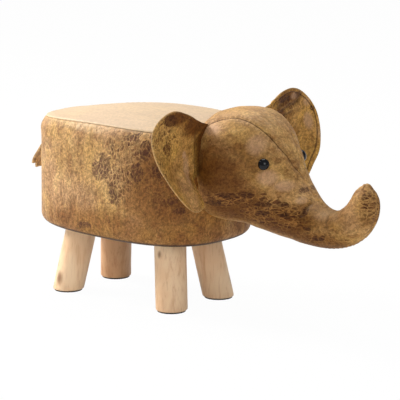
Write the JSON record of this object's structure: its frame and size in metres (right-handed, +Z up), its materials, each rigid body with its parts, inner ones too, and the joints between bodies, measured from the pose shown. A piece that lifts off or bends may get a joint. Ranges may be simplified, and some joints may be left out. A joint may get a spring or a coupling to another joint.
{
  "type": "animal footstool",
  "caption": "Low padded footstool shaped like an elephant, with log legs, a stuffed head with raised trunk, two hinged ears and a strap tail.",
  "frame": {"origin": "on the floor, below the middle of the overall length and width", "axes": "+X towards the head along the body, +Y to the animal's left, +Z up"},
  "size_m": [0.6384, 0.3762, 0.3121],
  "materials": {
    "leather": "distressed tan faux leather with darker mottling and fine crackle, satin",
    "leg_wood": "peeled pale log, clear satin",
    "frame_wood": "raw plywood and pine",
    "hardboard": "raw hardboard",
    "foam": "open-cell upholstery foam",
    "filling": "white polyester fibre",
    "dust_cloth": "thin black non-woven cloth",
    "steel": "zinc plated",
    "foot_pad": "dark matt glide",
    "washer": "plain moulded washer",
    "eye": "polished black dome"
  },
  "bodies": {
    "stool": {"leg_front_left": "leg_wood", "leg_front_right": "leg_wood", "leg_rear_left": "leg_wood", "leg_rear_right": "leg_wood", "foot_pad_front_left": "foot_pad", "foot_pad_front_right": "foot_pad", "foot_pad_rear_left": "foot_pad", "foot_pad_rear_right": "foot_pad", "pad_nail_front_left": "steel", "pad_nail_front_right": "steel", "pad_nail_rear_left": "steel", "pad_nail_rear_right": "steel", "hanger_bolt_front_left": "steel", "hanger_bolt_front_right": "steel", "hanger_bolt_rear_left": "steel", "hanger_bolt_rear_right": "steel", "tee_nut_front_left": "steel", "tee_nut_front_right": "steel", "tee_nut_rear_left": "steel", "tee_nut_rear_right": "steel", "base_board": "frame_wood", "seat_board": "frame_wood", "post_front_left": "frame_wood", "post_front_right": "frame_wood", "post_rear_left": "frame_wood", "post_rear_right": "frame_wood", "base_screw_front_left": "steel", "base_screw_front_right": "steel", "base_screw_rear_left": "steel", "base_screw_rear_right": "steel", "top_screw_front_left": "steel", "top_screw_front_right": "steel", "top_screw_rear_left": "steel", "top_screw_rear_right": "steel", "side_wall": "hardboard", "side_foam": "foam", "seat_foam": "foam", "cover_side_band": "leather", "cover_top_panel": "leather", "dust_cover": "dust_cloth", "forehead_panel": "leather", "cheek_left": "leather", "cheek_right": "leather", "head_stuffing": "filling", "trunk_stuffing": "filling", "eye_left": "eye", "eye_right": "eye", "eye_washer_left": "washer", "eye_washer_right": "washer", "ear_left_root": "leather", "ear_right_root": "leather"},
    "left_ear": {"ear_left_front_panel": "leather", "ear_left_back_panel": "leather", "ear_left_wadding": "filling"},
    "right_ear": {"ear_right_front_panel": "leather", "ear_right_back_panel": "leather", "ear_right_wadding": "filling"},
    "tail": {"tail_outer_strip": "leather", "tail_inner_strip": "leather"}
  },
  "joints": [
    {"name": "left_ear_fold", "type": "hinge", "parent": "stool", "child": "left_ear", "pos_m": [0.06207, 0.086, 0.2], "axis": [0, 0, -1], "range_deg": [-25, 35], "stiffness_Nm_per_rad": 0.05},
    {"name": "right_ear_fold", "type": "hinge", "parent": "stool", "child": "right_ear", "pos_m": [0.06207, -0.086, 0.2], "axis": [0, 0, 1], "range_deg": [-25, 35], "stiffness_Nm_per_rad": 0.05},
    {"name": "tail_swing", "type": "hinge", "parent": "stool", "child": "tail", "pos_m": [-0.27774, 0, 0.2377], "axis": [0, 1, 0], "range_deg": [-30, 60], "stiffness_Nm_per_rad": 0.06, "springref_deg": 1.72}
  ]
}
